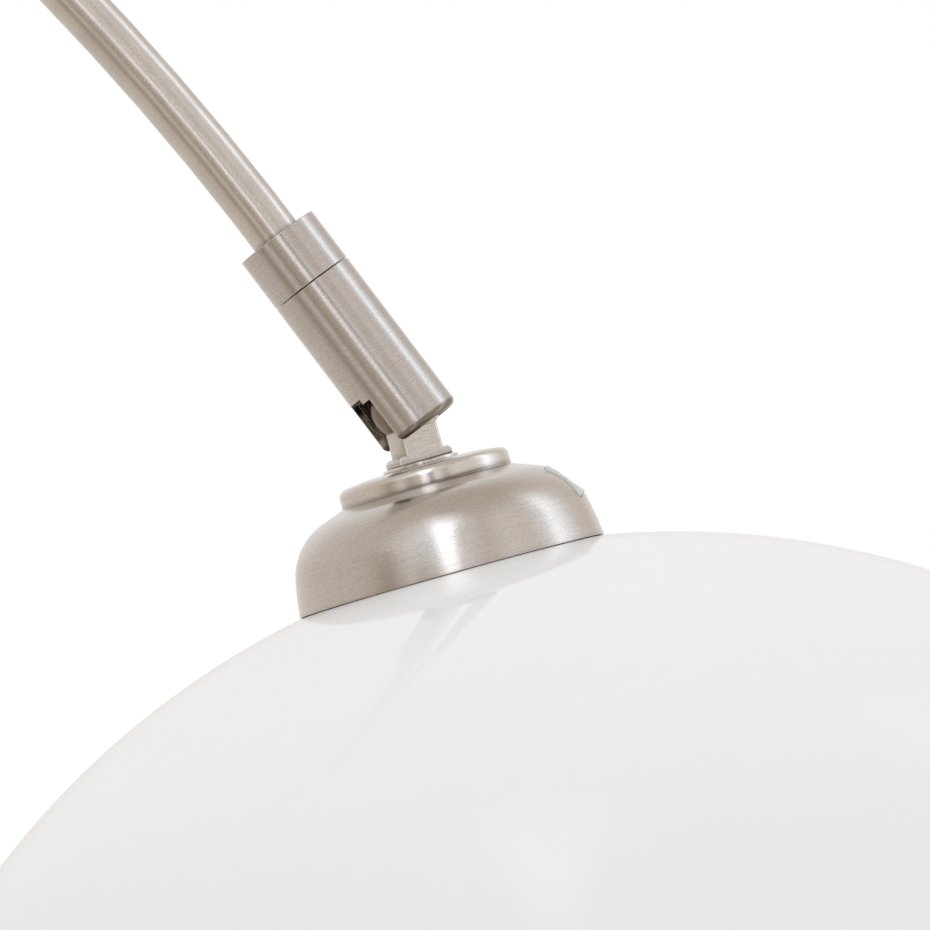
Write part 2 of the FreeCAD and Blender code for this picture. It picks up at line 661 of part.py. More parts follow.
def bow_joint():
    """Spigot inside and band outside the joint of the two bow tubes, with its grub screws."""
    level = f"placement(vector({JOINT_X}; 0; bow_top); rotation(vector(0; 1; 0); 90))"
    spigot = "(tube_d / 2 - tube_wall - fit_gap)"
    half = "(band_len / 2)"
    bore = "(tube_d / 2 + fit_gap)"
    finish(ring("bow_spigot", f"{spigot} - spigot_wall", spigot, "-spigot_len / 2", "spigot_len / 2"), level)
    blank = eased_ring("bow_band_blank", bore, f"({bore} + band_wall)", f"-{half}", half, "edge_round / 2")
    holes = []
    screws = []
    for number, side in enumerate(("-1", "1"), start=1):
        along = f"{side} * band_grub"
        holes.append(rod(f"bow_band_hole_{number}", "grub_r + grub_gap", "tube_d", ("0", "0", along),
                         "1; 0; 0"))
        screw = rod(f"bow_grub_{number}", "grub_r", "band_wall - band_grub_in", (bore, "0", along), "1; 0; 0")
        drive = rod(f"bow_grub_drive_{number}", "grub_socket_r", "grub_socket_deep",
                    (f"{bore} + band_wall / 2", "0", along), "1; 0; 0")
        screws.append(cut(f"bow_grub_screw_{number}", screw, [drive]))
    finish(cut("bow_band", blank, holes), level)
    finish(group("bow_grub_screws", screws), level)


# Collar and swivel sleeve, in the frame of the ball centre ------------------------------------------
def tip_collar():
    """Collar on the end of the bow, with a solid end for the threaded tube and the stop pin."""
    side = SLEEVE_R
    socket = "(tube_d / 2 + collar_bore_gap)"
    floor = f"({COLLAR_FOOT} + collar_floor)"
    blank = turned("tip_collar_blank", [
        ("stud_r + thread_gap", COLLAR_FOOT), (f"{side} - collar_edge", COLLAR_FOOT),
        (side, f"{COLLAR_FOOT} + collar_edge"), (side, f"{COLLAR_TOP} - collar_edge"),
        (f"{side} - collar_edge", COLLAR_TOP), (socket, COLLAR_TOP), (socket, floor),
        ("stud_r + thread_gap", floor),
    ])
    holes = [
        grub_hole("tip_collar_hole", "tube_d / 2", f"{COLLAR_TOP} - collar_grub", "1"),
        rod("tip_collar_pin_hole", "stop_pin_r", "collar_floor + 2 * cut_over",
            ("0", "stop_r", f"{COLLAR_FOOT} - cut_over")),
    ]
    finish(cut("tip_collar", blank, holes), SLEEVE)
    finish(grub_screw("tip_grub_screw", socket, f"{COLLAR_TOP} - collar_grub", "1"), SLEEVE)
    finish(rod("stop_pin", "stop_pin_r", "collar_floor + swivel_gap + stop_reach - stop_sunk",
               ("0", "stop_r", f"{SLEEVE_TOP} - stop_reach"), place=SLEEVE))


def swivel_hardware():
    """Threaded tube, nuts and washers of the swivel. They stay with the collar."""
    plug_foot = f"({SLEEVE_TOP} - plug_thick)"
    floor = f"({COLLAR_FOOT} + collar_floor)"
    bore = "stud_r + swivel_run"
    threaded_tube("swivel_stud", f"{plug_foot} - washer_thick - nut_thick - stud_past",
                  f"{floor} + nut_thick + stud_past", SLEEVE)
    nut("swivel_locknut", floor, SLEEVE)
    finish(ring("friction_washer", bore, "swivel_washer_r", SLEEVE_TOP, COLLAR_FOOT), SLEEVE)
    finish(ring("thrust_washer", bore, "swivel_washer_r", f"{plug_foot} - washer_thick", plug_foot), SLEEVE)
    nut("swivel_nut", f"{plug_foot} - washer_thick - nut_thick", SLEEVE)


def swivel_sleeve():
    """Sleeve with a round seat for the ball at its lower end and a side slot for the stem."""
    side = SLEEVE_R
    bore = SLEEVE_BORE
    seat_r = "(ball_r + ball_gap)"
    body = turned("swivel_sleeve_blank", [
        (f"{side} - mouth_in", "-ball_depth"), (f"{side} - sleeve_round", "-ball_depth", LEFT, "sleeve_round"),
        (side, "sleeve_round - ball_depth"), (side, f"{SLEEVE_TOP} - collar_edge"),
        (f"{side} - collar_edge", SLEEVE_TOP), (bore, SLEEVE_TOP), (bore, "0"),
        (seat_r, "0", RIGHT, seat_r), (f"sqrt({seat_r} ^ 2 - lip_depth ^ 2)", "-lip_depth"),
    ])
    slot_top = "(slot_high - ball_depth)"
    edge = "slot_wide / 2"
    slot = outline(body, "swivel_sleeve_slot", "XZ_Plane", [
        (f"-{edge}", "-ball_depth - cut_over"), (edge, "-ball_depth - cut_over"),
        (edge, f"{slot_top} - slot_step"), (f"{edge} - slot_step_wide", f"{slot_top} - slot_step"),
        (f"{edge} - slot_step_wide", slot_top),
        (f"-{edge} + slot_round", slot_top, LEFT, "slot_round"), (f"-{edge}", f"{slot_top} - slot_round"),
    ])
    pocket = body.newObject("PartDesign::Pocket", "swivel_sleeve_pocket")
    pocket.Profile = slot
    pocket.setExpression("Length", bound(f"2 * {SLEEVE_R}"))
    pocket.Reversed = True
    hole = grub_hole("swivel_sleeve_hole", "0", f"{SLEEVE_TOP} - plug_grub", "1")
    finish(cut("swivel_sleeve", body, [hole]), SLEEVE)


def sleeve_plug():
    """Plug in the sleeve's top, with the groove that the stop pin runs in."""
    plug_foot = f"({SLEEVE_TOP} - plug_thick)"
    side = f"({SLEEVE_BORE} - fit_gap)"
    body = ring("sleeve_plug_blank", "stud_r + swivel_run", side, plug_foot, SLEEVE_TOP)
    near = "stop_r - stop_pin_r - stop_gap"
    far = "stop_r + stop_pin_r + stop_gap"
    depth = f"({SLEEVE_TOP} - stop_reach - stop_gap)"
    sketch = outline(body, "sleeve_plug_track", "YZ_Plane", [
        (near, depth), (far, depth), (far, f"{SLEEVE_TOP} + cut_over"), (near, f"{SLEEVE_TOP} + cut_over"),
    ])
    groove = body.newObject("PartDesign::Groove", "sleeve_plug_groove")
    groove.Profile = sketch
    groove.ReferenceAxis = (sketch, ["V_Axis"])
    groove.setExpression("Angle", bound("stop_arc"))
    groove.Midplane = True
    hole = grub_hole("sleeve_plug_hole", f"{side} - plug_grub_in - grub_gap", f"{SLEEVE_TOP} - plug_grub", "1")
    finish(cut("sleeve_plug", body, [hole]), SLEEVE)
    finish(grub_screw("plug_grub_screw", f"{side} - plug_grub_in", f"{SLEEVE_TOP} - plug_grub", "1"), SLEEVE)


def sleeve_springs():
    """Pressure cup on the ball, disc springs on the cup and a spacer up to the plug."""
    bore = SLEEVE_BORE
    seat_r = "(ball_r + ball_gap)"
    side = f"({bore} - inside_gap)"
    finish(turned("pressure_cup", [
        (f"sqrt({seat_r} ^ 2 - cup_foot ^ 2)", "cup_foot"), (side, "cup_foot"), (side, "cup_top"),
        ("cup_hole_r", "cup_top"), ("cup_hole_r", f"sqrt({seat_r} ^ 2 - cup_hole_r ^ 2)", RIGHT, seat_r),
    ]), SLEEVE)
    step = "(spring_thick + spring_cone + fit_gap)"
    springs = []
    for number in range(int(value("spring_count"))):
        inner, outer = ("0", "spring_cone") if number % 2 else ("spring_cone", "0")
        foot = f"(cup_top + fit_gap + {number} * {step})"
        springs.append(turned(f"disc_spring_{number + 1}", [
            ("spring_bore_r", f"{foot} + {inner}"), (side, f"{foot} + {outer}"),
            (side, f"{foot} + {outer} + spring_thick"), ("spring_bore_r", f"{foot} + {inner} + spring_thick"),
        ]))
    finish(group("disc_springs", springs), SLEEVE)
    finish(ring("spring_spacer", f"{side} - spacer_wall", side, f"cup_top + fit_gap + spring_count * {step}",
                f"{SLEEVE_TOP} - plug_thick"), SLEEVE)


# Knuckle, in the frame of the cap rim ---------------------------------------------------------------
FLANGE_FOOT = "(cap_high + ring_thick)"
FLANGE_TOP = f"({FLANGE_FOOT} + flange_thick)"
STEM_TOP = f"(head_drop - sqrt(ball_r ^ 2 - {STEM_R} ^ 2))"


def knuckle():
    """Ball and stem, milled to two flats, with the lead passage through both."""
    low = f"({FLANGE_FOOT} - ring_thick - spigot_down)"
    ball = turned("ball_head_blank", [
        ("stud_r + thread_gap", STEM_TOP), (STEM_R, STEM_TOP, LEFT, "ball_r"),
        ("cup_hole_r", "head_drop + sqrt(ball_r ^ 2 - cup_hole_r ^ 2)"),
        ("cup_hole_r", f"{STEM_TOP} + spigot_up"), ("stud_r + thread_gap", f"{STEM_TOP} + spigot_up"),
    ])
    stem = turned("knuckle_stem_blank", [
        ("stud_bore_r", low), ("stud_r", low), ("stud_r", FLANGE_FOOT),
        ("flange_d / 2 - flange_under", FLANGE_FOOT), ("flange_d / 2", f"{FLANGE_FOOT} + flange_under"),
        ("flange_d / 2", f"{FLANGE_TOP} - flange_edge"), ("flange_d / 2 - flange_edge", FLANGE_TOP),
        (STEM_R, FLANGE_TOP), (STEM_R, STEM_TOP), ("stud_r", STEM_TOP),
        ("stud_r", f"{STEM_TOP} + spigot_up"), ("stud_bore_r", f"{STEM_TOP} + spigot_up"),
    ])
    long = "2 * (head_drop + 2 * ball_r)"
    for name, blank in (("ball_head", ball), ("knuckle_stem", stem)):
        slab = block(name + "_slab", ("2 * flange_d", "ball_flats", long), ("0", "0", "0"))
        finish(common(name, blank, slab), KNUCKLE)


def cap_hardware():
    """Bright washer above the cap and locknut below it."""
    finish(eased_ring("cap_washer", "stud_r + thread_gap", "ring_d / 2", "cap_high", FLANGE_FOOT, "ring_edge"),
           HEAD)
    nut("cap_nut", "cap_high - cap_wall - nut_thick", HEAD)


# Cap, shade and lampholder --------------------------------------------------------------------------
SWITCH_X = f"({CAP_SIDE_R} - cap_shoulder * cos(cap_side_lean))"
SWITCH_Z = "(cap_side_up - cap_shoulder * sin(cap_side_lean))"
FACE = "(cap_shoulder - switch_proud)"


def switch_frame(place):
    """A point on the switch's own axis: x down the slope, y across it and z out of the face."""
    return f"{place} * placement(vector({SWITCH_X}; 0; {SWITCH_Z}); rotation(vector(0; 1; 0); 90 - switch_up))"


def cap():
    """Spun bell cap with a round-edged boss, and an opening for the switch."""
    side_in = f"({CAP_SIDE_R} - cap_wall * cos(cap_side_lean))"
    side_in_up = "(cap_side_up - cap_wall * sin(cap_side_lean))"
    brow_in = f"({CAP_BROW_R} - cap_wall * sin(cap_slope))"
    brow_in_up = "(cap_brow_up - cap_wall * cos(cap_slope))"
    edge = "(cap_high - boss_fall)"
    blank = turned("cap_blank", [
        ("cap_rim_r - cap_wall", "0"), ("cap_rim_r", "0", LEFT, "cap_side_bow"),
        (CAP_SIDE_R, "cap_side_up", LEFT, "cap_shoulder"), (CAP_BROW_R, "cap_brow_up"),
        ("boss_r", "boss_foot"), ("boss_r", f"{edge} - boss_round", LEFT, "boss_round"),
        ("boss_r - boss_round", edge), ("boss_flat_r", "cap_high"), ("stud_r + thread_gap", "cap_high"),
        ("stud_r + thread_gap", "cap_high - cap_wall"), ("boss_flat_r", "cap_high - cap_wall"),
        ("boss_r - boss_round", f"{edge} - cap_wall", RIGHT, "boss_round - cap_wall"),
        ("boss_r - cap_wall", f"{edge} - boss_round"), ("boss_r - cap_wall", "boss_foot - cap_wall"),
        (brow_in, brow_in_up, RIGHT, "cap_shoulder - cap_wall"),
        (side_in, side_in_up, RIGHT, "cap_side_bow - cap_wall"),
    ])
    opening = block("cap_opening",
                    ("switch_long + 2 * bezel_gap", "switch_wide + 2 * bezel_gap", "cap_shoulder"),
                    ("0", "0", "cap_shoulder"))
    holder = doc.addObject("Part::Compound", "cap_opening_set")
    holder.Links = [opening]
    seat(holder, switch_frame("placement(vector(0; 0; 0); rotation(vector(0; 0; 1); 0))"))
    finish(cut("cap", blank, [holder]), HEAD)


APEX = "(shade_sphere - sqrt(shade_sphere ^ 2 - cap_rim_r ^ 2) - shade_gap)"
DOME_CENTRE = f"({APEX} - shade_sphere)"


def on_dome(radius, across):
    """Height of a dome surface at a distance from its axis."""
    return f"({DOME_CENTRE} + sqrt(({radius}) ^ 2 - ({across}) ^ 2))"


def shade():
    """Blown dome: a shallow sphere, a rounder shoulder and a nearly upright skirt."""
    bend = "asin(shade_bend_r / shade_sphere)"
    fall = "shade_skirt"
    hub_x = f"((shade_sphere - shade_shoulder) * sin({bend}))"
    hub_z = f"({DOME_CENTRE} + (shade_sphere - shade_shoulder) * cos({bend}))"
    inner = "(shade_sphere - shade_wall)"

    def shoulder_end(radius):
        return f"({hub_x} + ({radius}) * sin({fall}))", f"({hub_z} + ({radius}) * cos({fall}))"

    high_x, high_z = shoulder_end("shade_shoulder")
    skirt = f"(({high_z} - {APEX} + shade_high) / sin({fall}))"
    rim_x = f"({high_x} + {skirt} * cos({fall}))"
    rim_z = f"({high_z} - {skirt} * sin({fall}))"
    inner_rim = (f"{rim_x} - shade_wall * sin({fall})", f"{rim_z} - shade_wall * cos({fall})")
    inner_high = shoulder_end("shade_shoulder - shade_wall")
    finish(turned("shade", [
        ("shade_hole_r", on_dome("shade_sphere", "shade_hole_r"), RIGHT, "shade_sphere"),
        ("shade_bend_r", on_dome("shade_sphere", "shade_bend_r"), RIGHT, "shade_shoulder"),
        (high_x, high_z), (rim_x, rim_z), inner_rim, inner_high + (LEFT, "shade_shoulder - shade_wall"),
        (f"{inner} * sin({bend})", f"{DOME_CENTRE} + {inner} * cos({bend})", LEFT, inner),
        ("shade_hole_r", on_dome(inner, "shade_hole_r")),
    ]), HEAD)


def shade_rings():
    """Threaded rings that clamp the shade on the lampholder."""
    bore = "holder_r + ring_run"
    over = on_dome("shade_sphere", "shade_hole_r")
    under = on_dome("shade_sphere - shade_wall", "ring_over_r")
    finish(eased_ring("shade_ring_upper", bore, "ring_over_r", over, f"{over} + ring_over_thick",
                      "ring_edge"), HEAD)
    finish(eased_ring("shade_ring_lower", bore, "ring_over_r", f"{under} - ring_over_thick", under,
                      "ring_edge"), HEAD)


def lampholder():
    """Shell, ceramic core, screw shell and centre contact."""
    bore = "stud_r + thread_gap"
    inner = "(holder_r - holder_wall)"
    core = f"({inner} - core_gap)"
    well = "(screw_shell_r + screw_shell_wall)"
    pin_hole = "(contact_pin_r + core_gap / 2)"
    finish(turned("lampholder_shell", [
        (bore, "holder_top - holder_wall"), (bore, "holder_top"), ("holder_neck_r", "holder_top"),
        ("holder_r", "holder_brow"), ("holder_r", "holder_foot"), (inner, "holder_foot"),
        (inner, "holder_brow - holder_wall / 2"),
        ("holder_neck_r - holder_wall / 2", "holder_top - holder_wall"),
    ]), HEAD)
    finish(turned("lampholder_core", [
        (pin_hole, "core_floor"), (well, "core_floor"), (well, "core_foot"), (core, "core_foot"),
        (core, "core_top"), (pin_hole, "core_top"),
    ]), HEAD)
    finish(ring("screw_shell", "screw_shell_r", well, "core_foot + screw_shell_in", "core_floor"), HEAD)
    finish(turned("centre_contact", [
        ("0", "core_floor - contact_thick"), ("contact_r", "core_floor - contact_thick"),
        ("contact_r", "core_floor"), ("contact_pin_r", "core_floor"),
        ("contact_pin_r", "core_floor + contact_pin"), ("0", "core_floor + contact_pin"),
    ]), HEAD)


def bulb():
    """Screw base and hollow globe."""
    neck = "bulb_neck_r"
    stem = "(bulb_base_r - bulb_stem)"
    inner = "(bulb_r - bulb_wall)"

    def brow(radius):
        return f"{radius} * cos(bulb_brow)", f"bulb_centre + {radius} * sin(bulb_brow)"

    finish(turned("bulb_base", [
        ("0", "bulb_neck_up - bulb_stem"), (stem, "bulb_neck_up - bulb_stem"), (stem, "bulb_neck_up"),
        ("bulb_base_r", "bulb_neck_up"), ("bulb_base_r", "bulb_base_top - bulb_base_cone"),
        ("bulb_tip_r + bulb_glass", "bulb_base_top"), ("bulb_tip_r", "bulb_base_top + bulb_glass_up"),
        ("bulb_tip_r", "bulb_tip_up"), ("0", "bulb_tip_up"),
    ]), HEAD)
    finish(turned("bulb_globe", [
        ("0", "bulb_centre - bulb_r", LEFT, "bulb_r"), brow("bulb_r"), (neck, "bulb_neck_up - bulb_neck_long"),
        (neck, "bulb_neck_up"), (f"{neck} - bulb_wall", "bulb_neck_up"),
        (f"{neck} - bulb_wall", "bulb_neck_up - bulb_neck_long - bulb_wall / 2"),
        brow(inner) + (RIGHT, inner), ("0", f"bulb_centre - {inner}"),
    ]), HEAD)


# Switch, in a frame on the cap's shoulder -----------------------------------------------------------
SWITCH = switch_frame(HEAD)
PIN_UP = f"({FACE} - bezel_thick / 2)"


def switch_body():
    """Bezel, and the open-topped body behind it with two terminals and the rocker's pin."""
    long_hole = "rocker_long + 2 * rocker_gap"
    wide_hole = "rocker_wide + 2 * rocker_gap"
    plate = block("switch_bezel_plate", ("switch_long", "switch_wide", "bezel_thick"),
                  ("0", "0", f"{FACE} - bezel_thick / 2"))
    window = block("switch_bezel_window", (long_hole, wide_hole, "bezel_thick + 2 * cut_over"),
                   ("0", "0", f"{FACE} - bezel_thick / 2"))
    pin = ("pin_r", "switch_wide - 2 * pin_in", ("0", "pin_in - switch_wide / 2", PIN_UP), "0; 1; 0")
    pin_hole = rod("switch_bezel_pin_hole", *pin)
    finish(cut("switch_bezel", plate, [window, pin_hole]), SWITCH)
    under = f"({FACE} - bezel_thick)"
    box = block("switch_body_box",
                (f"{long_hole} + 2 * body_side", f"{wide_hole} + 2 * body_side", "body_deep"),
                ("0", "0", f"{under} - body_deep / 2"))
    tabs = [block(f"switch_tab_{number}", ("tab_thick", "tab_wide", "tab_long + tab_in"),
                  (f"{side} * tab_apart / 2", "0", f"{under} - body_deep - (tab_long - tab_in) / 2"))
            for number, side in enumerate(("-1", "1"), start=1)]
    hollow = block("switch_body_hollow", (long_hole, wide_hole, "2 * (body_deep - body_floor)"),
                   ("0", "0", under))
    finish(cut("switch_body", joined("switch_body_solid", [box] + tabs), [hollow]), SWITCH)
    finish(rod("rocker_pin", *pin, SWITCH))


def switch_rocker():
    """Rocker with two sloped faces, tilted to its off position about the pin."""
    body = doc.addObject("PartDesign::Body", "switch_rocker_blank")
    end = "rocker_long / 2"
    ridge = "(bezel_thick / 2 + rocker_proud)"
    low = f"({ridge} - rocker_long / 2 * tan(rocker_rest))"
    side = outline(body, "switch_rocker_side", "XZ_Plane", [
        (f"-{end}", low), (f"-{end} + rocker_taper", "-rocker_skirt"),
        (f"{end} - rocker_taper", "-rocker_skirt"), (end, low), ("0", ridge),
    ])
    pad = padded(body, side, "switch_rocker_pad", "rocker_wide", False)
    pad.Midplane = True
    hole = rod("switch_rocker_hole", "pin_r + pin_run", "rocker_wide + 2 * cut_over",
               ("0", "-rocker_wide / 2 - cut_over", "0"), "0; 1; 0")
    tilt = f"placement(vector(0; 0; {PIN_UP}); rotation(vector(0; 1; 0); rocker_rest))"
    finish(cut("switch_rocker", body, [hole]), f"{SWITCH} * {tilt}")


# Build and export -----------------------------------------------------------------------------------
def check(thing):
    """Stops if an object failed, or if a cut took nothing away."""
    if "Invalid" in thing.State or "Error" in thing.State:
        raise RuntimeError(f"{thing.Label}: {thing.State}")
    if thing.TypeId == "Part::Cut" and thing.Shape.Volume >= thing.Base.Shape.Volume:
        raise RuntimeError(f"{thing.Label} cuts nothing")
    if thing.TypeId in ("PartDesign::Pocket", "PartDesign::Groove"):
        if thing.Shape.Volume >= thing.BaseFeature.Shape.Volume:
            raise RuntimeError(f"{thing.Label} cuts nothing")


def check_shape(thing):
    """Stops if a sub-part has no valid solid."""
    shape = thing.Shape
    if shape.isNull() or not shape.isValid() or not shape.Solids:
        raise RuntimeError(f"{thing.Label} has no valid solid")


def export():
    """Writes each sub-part to its own STEP file."""
    os.makedirs("parts", exist_ok=True)
    for thing in parts:
        thing.Shape.exportStep(f"parts/{thing.Label}.step")
        print(f"{thing.Label}: {len(thing.Shape.Solids)} solid(s), {thing.Shape.Volume / 1000:.2f} cm3")


MAKERS = (
    base_pad, base_weight, base_cover, cord_gland, foot_hardware, pole_foot, lower_pole, pole_reducer,
    pole_grub_screws, rear_bow, front_bow, bow_joint, tip_collar, swivel_hardware, swivel_sleeve, sleeve_plug,
    sleeve_springs, knuckle, cap_hardware, cap, shade, shade_rings, lampholder, bulb, switch_body,
    switch_rocker,
)
for make in MAKERS:
    make()
doc.recompute()
for item in doc.Objects:
    check(item)
for item in parts:
    check_shape(item)
export()
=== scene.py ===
"""Looks of the arc floor lamp: brushed nickel, a glossy opal shade, a pale studio and the camera."""
import json
import math

import bpy
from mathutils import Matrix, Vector

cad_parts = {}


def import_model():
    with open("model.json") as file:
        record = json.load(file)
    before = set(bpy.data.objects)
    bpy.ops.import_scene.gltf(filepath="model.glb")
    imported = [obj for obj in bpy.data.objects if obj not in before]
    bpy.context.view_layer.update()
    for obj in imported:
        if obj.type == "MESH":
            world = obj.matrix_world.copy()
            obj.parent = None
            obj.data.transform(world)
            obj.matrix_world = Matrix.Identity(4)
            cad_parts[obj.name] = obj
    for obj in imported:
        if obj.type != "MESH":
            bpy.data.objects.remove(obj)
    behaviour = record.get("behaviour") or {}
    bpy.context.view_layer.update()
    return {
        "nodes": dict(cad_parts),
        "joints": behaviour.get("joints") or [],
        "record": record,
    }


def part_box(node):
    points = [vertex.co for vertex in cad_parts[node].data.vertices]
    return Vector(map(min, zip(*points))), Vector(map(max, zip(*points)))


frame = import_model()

NODES = frame["nodes"]
JOINTS = {joint["name"]: joint for joint in frame["joints"]}
SLOTS = {part["node"]: part["material_slot"] for part in frame["record"]["subparts"]}
MM = 0.001


def middle(node):
    """Middle of a CAD node's box."""
    low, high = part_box(node)
    return (Vector(low) + Vector(high)) / 2


# Axes of the turned parts, in the CAD frame -----------------------------------------------------------
UP = Vector((0, 0, 1))
LEVEL = Vector((1, 0, 0))
BALL = Vector(JOINTS["sleeve_swivel"]["pos_m"])
SLEEVE_AXIS = Vector(JOINTS["sleeve_swivel"]["axis"])
HEAD_AXIS = (BALL - middle("bulb_globe")).normalized()
POLE = middle("lower_pole")
BOW_JOINT = middle("bow_band")
BASE = middle("base_cover")

# Sizes of the turned parts: radii, and places along an axis from the ball's centre
BALL_R = 15 * MM
BORE_R = 16 * MM
MOUTH_UP = -8.4 * MM
FLANGE_UP = -24.95 * MM
CREASE_UP = -35.75 * MM
CREASE_R = 37.2 * MM

# Camera: a long lens that looks up a little at the ball joint and the top of the shade ----------------
VIEW_WIDTH = 395 * MM
CAMERA_FAR = 8.0
CAMERA_BELOW = math.radians(1.6)
VIEW_MIDDLE = BALL + Vector((25.72 * MM, 0, -25.21 * MM))
SENSOR = 36.0

# Metal colours, linear: the brushed plate, its other finishes, its painted highlights and worn edges, its
# painted shade, and the rest
NICKEL = (0.585, 0.55, 0.53)
NICKEL_BOW = (0.67, 0.63, 0.595)
NICKEL_CAP = (0.625, 0.588, 0.56)
NICKEL_STEM = (0.68, 0.65, 0.62)
NICKEL_BRIGHT = (0.86, 0.855, 0.85)
NICKEL_BOSS_HIGHLIGHT = (0.84, 0.81, 0.78)
NICKEL_WEAR_HIGHLIGHT = (0.96, 0.95, 0.93)
NICKEL_SHADE = (0.22, 0.175, 0.135)
NICKEL_BALL_SHADE = (0.24, 0.19, 0.15)
NICKEL_BORE_SHADE = (0.30, 0.215, 0.155)
NICKEL_SHADOW_LINE = (0.05, 0.04, 0.03)
ZINC = (0.60, 0.60, 0.575)
BRASS = (0.72, 0.53, 0.24)
ALUMINIUM = (0.74, 0.74, 0.735)

# Grain of the metals: length and width of the brushed marks, size of the rest, and depth of the bump
TICKS = (1.3 * MM, 0.36 * MM)
LINES = (14 * MM, 0.5 * MM)
SPARKLE = 0.55 * MM
PATCHES = 26 * MM
STAINS = 14 * MM
SPECKS = 1.3 * MM
GRAIN_DEEP = 1.5e-5
MOTTLE_DEEP = 1.3e-5
GRAIN_TINT = 0.16
MOTTLE_TINT = 0.12
THREAD_PITCH = 3.6 * MM

# What noise mostly stays within
NOISE_RANGE = (0.3, 0.7)

# Painted shade in the creases: how far it reaches, and the openness at which it is whole and gone
CREASE_SHADE_REACH = 3 * MM
CREASE_SHADE_RANGE = (0.4, 0.88)
CREASE_SHADE_DARKNESS = 0.25
CREASE_SHADE = 0.85


# Node trees -------------------------------------------------------------------------------------------
class Tree:
    """A short way to write a material's or the world's nodes."""

    def __init__(self, owner):
        owner.use_nodes = True
        self.tree = owner.node_tree
        self.tree.nodes.clear()

    def add(self, kind, _operation=None, **inputs):
        """A node with its inputs set or linked.

        A key is an input's name with _ for a space, or i and the input's number.
        """
        node = self.tree.nodes.new(kind)
        if _operation:
            node.operation = _operation
        for key, given in inputs.items():
            if key[0] == "i" and key[1:].isdigit():
                socket = node.inputs[int(key[1:])]
            else:
                socket = node.inputs[key.replace("_", " ")]
            self.put(socket, given)
        return node

    def put(self, socket, given):
        """Sets or links one input."""
        if isinstance(given, bpy.types.NodeSocket):
            self.tree.links.new(given, socket)
        elif isinstance(given, bpy.types.Node):
            self.tree.links.new(given.outputs[0], socket)
        else:
            socket.default_value = given

    def maths(self, operation, *values):
        return self.add("ShaderNodeMath", operation, **{f"i{n}": v for n, v in enumerate(values)})

    def vector(self, operation, *values):
        return self.add("ShaderNodeVectorMath", operation, **{f"i{n}": v for n, v in enumerate(values)})

    def scaled(self, vector, factor):
        """A vector times a number."""
        return self.add("ShaderNodeVectorMath", "SCALE", i0=vector, Scale=factor)

    def ramp(self, fac, stops):
        """A colour ramp from (place, colour) stops."""
        node = self.add("ShaderNodeValToRGB", Fac=fac)
        band = node.color_ramp.elements
        while len(band) < len(stops):
            band.new(0.5)
        for element, (place, colour) in zip(band, stops):
            element.position = place
            element.color = (*colour, 1)
        return node.outputs["Color"]

    def spread(self, value, low, high, to_low, to_high):
        """A value moved from one range to another, held at the ends."""
        node = self.add("ShaderNodeMapRange", Value=value)
        for key, given in (("From Min", low), ("From Max", high), ("To Min", to_low), ("To Max", to_high)):
            node.inputs[key].default_value = given
        return node.outputs["Result"]

    def noise(self, vector, size, detail=2.0):
        """Noise with features of a size in metres."""
        return self.add("ShaderNodeTexNoise", Vector=vector, Scale=1 / size, Detail=detail).outputs["Fac"]

    def mixed(self, fac, first, second):
        """Two colours mixed."""
        node = self.add("ShaderNodeMix")
        node.data_type = "RGBA"
        self.put(node.inputs["Factor"], fac)
        for key, given in (("A", first), ("B", second)):
            socket = [s for s in node.inputs if s.name == key and s.type == "RGBA"][0]
            self.put(socket, (*given, 1) if isinstance(given, tuple) else given)
        return [s for s in node.outputs if s.type == "RGBA"][0]


def material(name):
    """A new material, its tree and its surface shader."""
    made = bpy.data.materials.new(name)
    tree = Tree(made)
    shader = tree.add("ShaderNodeBsdfPrincipled")
    tree.add("ShaderNodeOutputMaterial", Surface=shader)
    return made, tree, shader


def shaded(colour, factor):
    """A colour made darker or lighter."""
    return tuple(channel * factor for channel in colour)


def bumped(tree, shader, height, distance, edge):
    """Bump over edges eased to a radius. Returns the eased normal."""
    bevel = tree.add("ShaderNodeBevel", Radius=edge)
    bevel.samples = 4
    bump = tree.add("ShaderNodeBump", Strength=1.0, Distance=distance, Height=height, Normal=bevel)
    tree.put(shader.inputs["Normal"], bump)
    return bevel


def edge_wear_and_highlight(tree, bevel, gain):
    """How far the eased normal leaves the true one, from 0 to 1: the share of an edge lightened for wear
    and a painted highlight.
    """
    normal = tree.add("ShaderNodeNewGeometry").outputs["Normal"]
    bent = tree.maths("SUBTRACT", 1.0, tree.vector("DOT_PRODUCT", bevel, normal).outputs["Value"])
    return tree.spread(bent, 0.0, 1 / gain, 0.0, 1.0)


def crease_shaded(tree, base, colour, amount=CREASE_SHADE):
    """The colour under painted shade in the creases."""
    open_share = tree.add("ShaderNodeAmbientOcclusion", Distance=CREASE_SHADE_REACH)
    open_share.samples = 6
    crease_shade = tree.spread(open_share.outputs["AO"], *CREASE_SHADE_RANGE, amount, 0.0)
    return tree.mixed(crease_shade, base, shaded(colour, CREASE_SHADE_DARKNESS))


